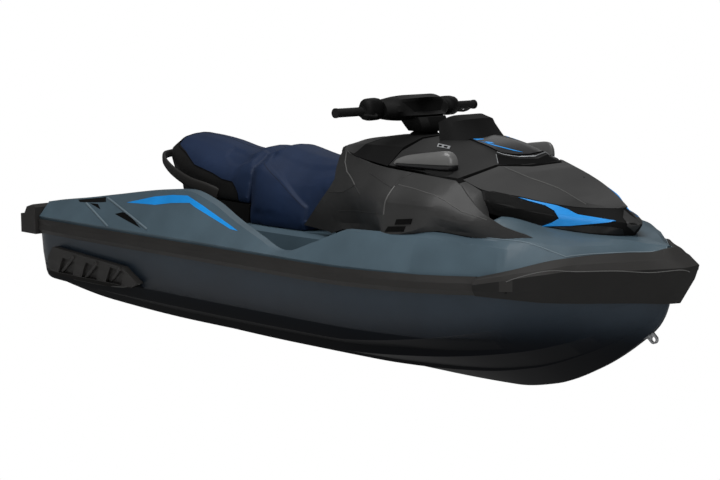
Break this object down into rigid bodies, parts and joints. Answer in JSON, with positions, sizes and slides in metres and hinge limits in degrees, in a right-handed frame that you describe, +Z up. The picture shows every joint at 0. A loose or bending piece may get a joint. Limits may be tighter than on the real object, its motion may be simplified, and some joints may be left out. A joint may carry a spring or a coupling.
{
  "type": "personal watercraft",
  "caption": "Jet-driven personal watercraft with a stepped three-place seat, handlebar steering, front storage under a hinged lid and a folding boarding step.",
  "frame": {"origin": "on the waterline amidships, on the centre plane", "axes": "+X to the bow, +Y to port, +Z up"},
  "size_m": [3.45, 1.266, 1.15],
  "materials": {
    "hull": "satin gel coat",
    "deck": "satin gel coat",
    "bumper": "moulded, matt",
    "panel": "dark, semi-gloss",
    "black_trim": "moulded, matt",
    "accent": "bright, gloss",
    "seat_cover": "grained vinyl",
    "mat": "grooved foam",
    "grip": "ribbed",
    "metal": "stainless",
    "drive": "cast",
    "screen": "dark, gloss",
    "engine_block": "plain"
  },
  "bodies": {
    "watercraft": {"hull": "hull", "engine": "engine_block", "deck": "deck", "side_panel_port": "panel", "side_panel_starboard": "panel", "console": "black_trim", "front_cover": "panel", "nose_grille": "black_trim", "rub_rail_port": "bumper", "rub_rail_starboard": "bumper", "bow_bumper": "bumper", "stern_bumper_port": "bumper", "stern_bumper_starboard": "bumper", "sponson_port": "bumper", "sponson_starboard": "bumper", "passenger_seat": "seat_cover", "driver_seat": "seat_cover", "pump_housing": "drive", "ride_plate": "drive", "intake_grate": "metal", "step_bracket_port": "metal", "step_bracket_starboard": "metal", "grab_handle": "black_trim", "tow_eye": "metal", "bow_eye": "metal", "steering_neck": "black_trim", "seat_base": "black_trim", "storage_bin": "black_trim", "glovebox": "black_trim", "platform_mat": "mat", "footwell_mat_port": "mat", "footwell_mat_starboard": "mat"},
    "steering": {"handlebar": "black_trim", "grip_port": "grip", "grip_starboard": "grip", "handlebar_cover": "black_trim"},
    "nozzle": {"steering_nozzle": "drive"},
    "gate": {"reverse_gate": "drive"},
    "impeller": {"impeller": "metal"},
    "storage_lid": {"storage_lid": "panel", "windshield": "screen", "mirror_port": "screen", "mirror_starboard": "screen"},
    "glovebox_lid": {"glovebox_lid": "black_trim"},
    "step": {"boarding_step": "metal"}
  },
  "joints": [
    {"name": "steering", "type": "hinge", "parent": "watercraft", "child": "steering", "pos_m": [0.395, 0, 0.725], "axis": [-0.4067, 0, 0.9135], "range_deg": [-25, 25]},
    {"name": "nozzle_yaw", "type": "hinge", "parent": "watercraft", "child": "nozzle", "pos_m": [-1.425, 0, -0.075], "axis": [0, 0, 1], "range_deg": [-20, 20]},
    {"name": "reverse_gate", "type": "hinge", "parent": "nozzle", "child": "gate", "pos_m": [-1.457, 0, -0.075], "axis": [0, -1, 0], "range_deg": [0, 78]},
    {"name": "impeller_spin", "type": "hinge", "parent": "watercraft", "child": "impeller", "pos_m": [-1.165, 0, -0.075], "axis": [1, 0, 0], "continuous": true},
    {"name": "storage_lid", "type": "hinge", "parent": "watercraft", "child": "storage_lid", "pos_m": [1.215, 0, 0.595], "axis": [0, 1, 0], "range_deg": [0, 60]},
    {"name": "glovebox_lid", "type": "hinge", "parent": "watercraft", "child": "glovebox_lid", "pos_m": [0.267, 0, 0.705], "axis": [0, 1, 0], "range_deg": [0, 50]},
    {"name": "boarding_step", "type": "hinge", "parent": "watercraft", "child": "step", "pos_m": [-1.663, 0, -0.024], "axis": [0, -1, 0], "range_deg": [0, 165], "stiffness_Nm_per_rad": 1.5, "springref_deg": -85.94}
  ],
  "couplings": [
    {"joint": "nozzle_yaw", "follows": "steering", "ratio": -0.8}
  ]
}
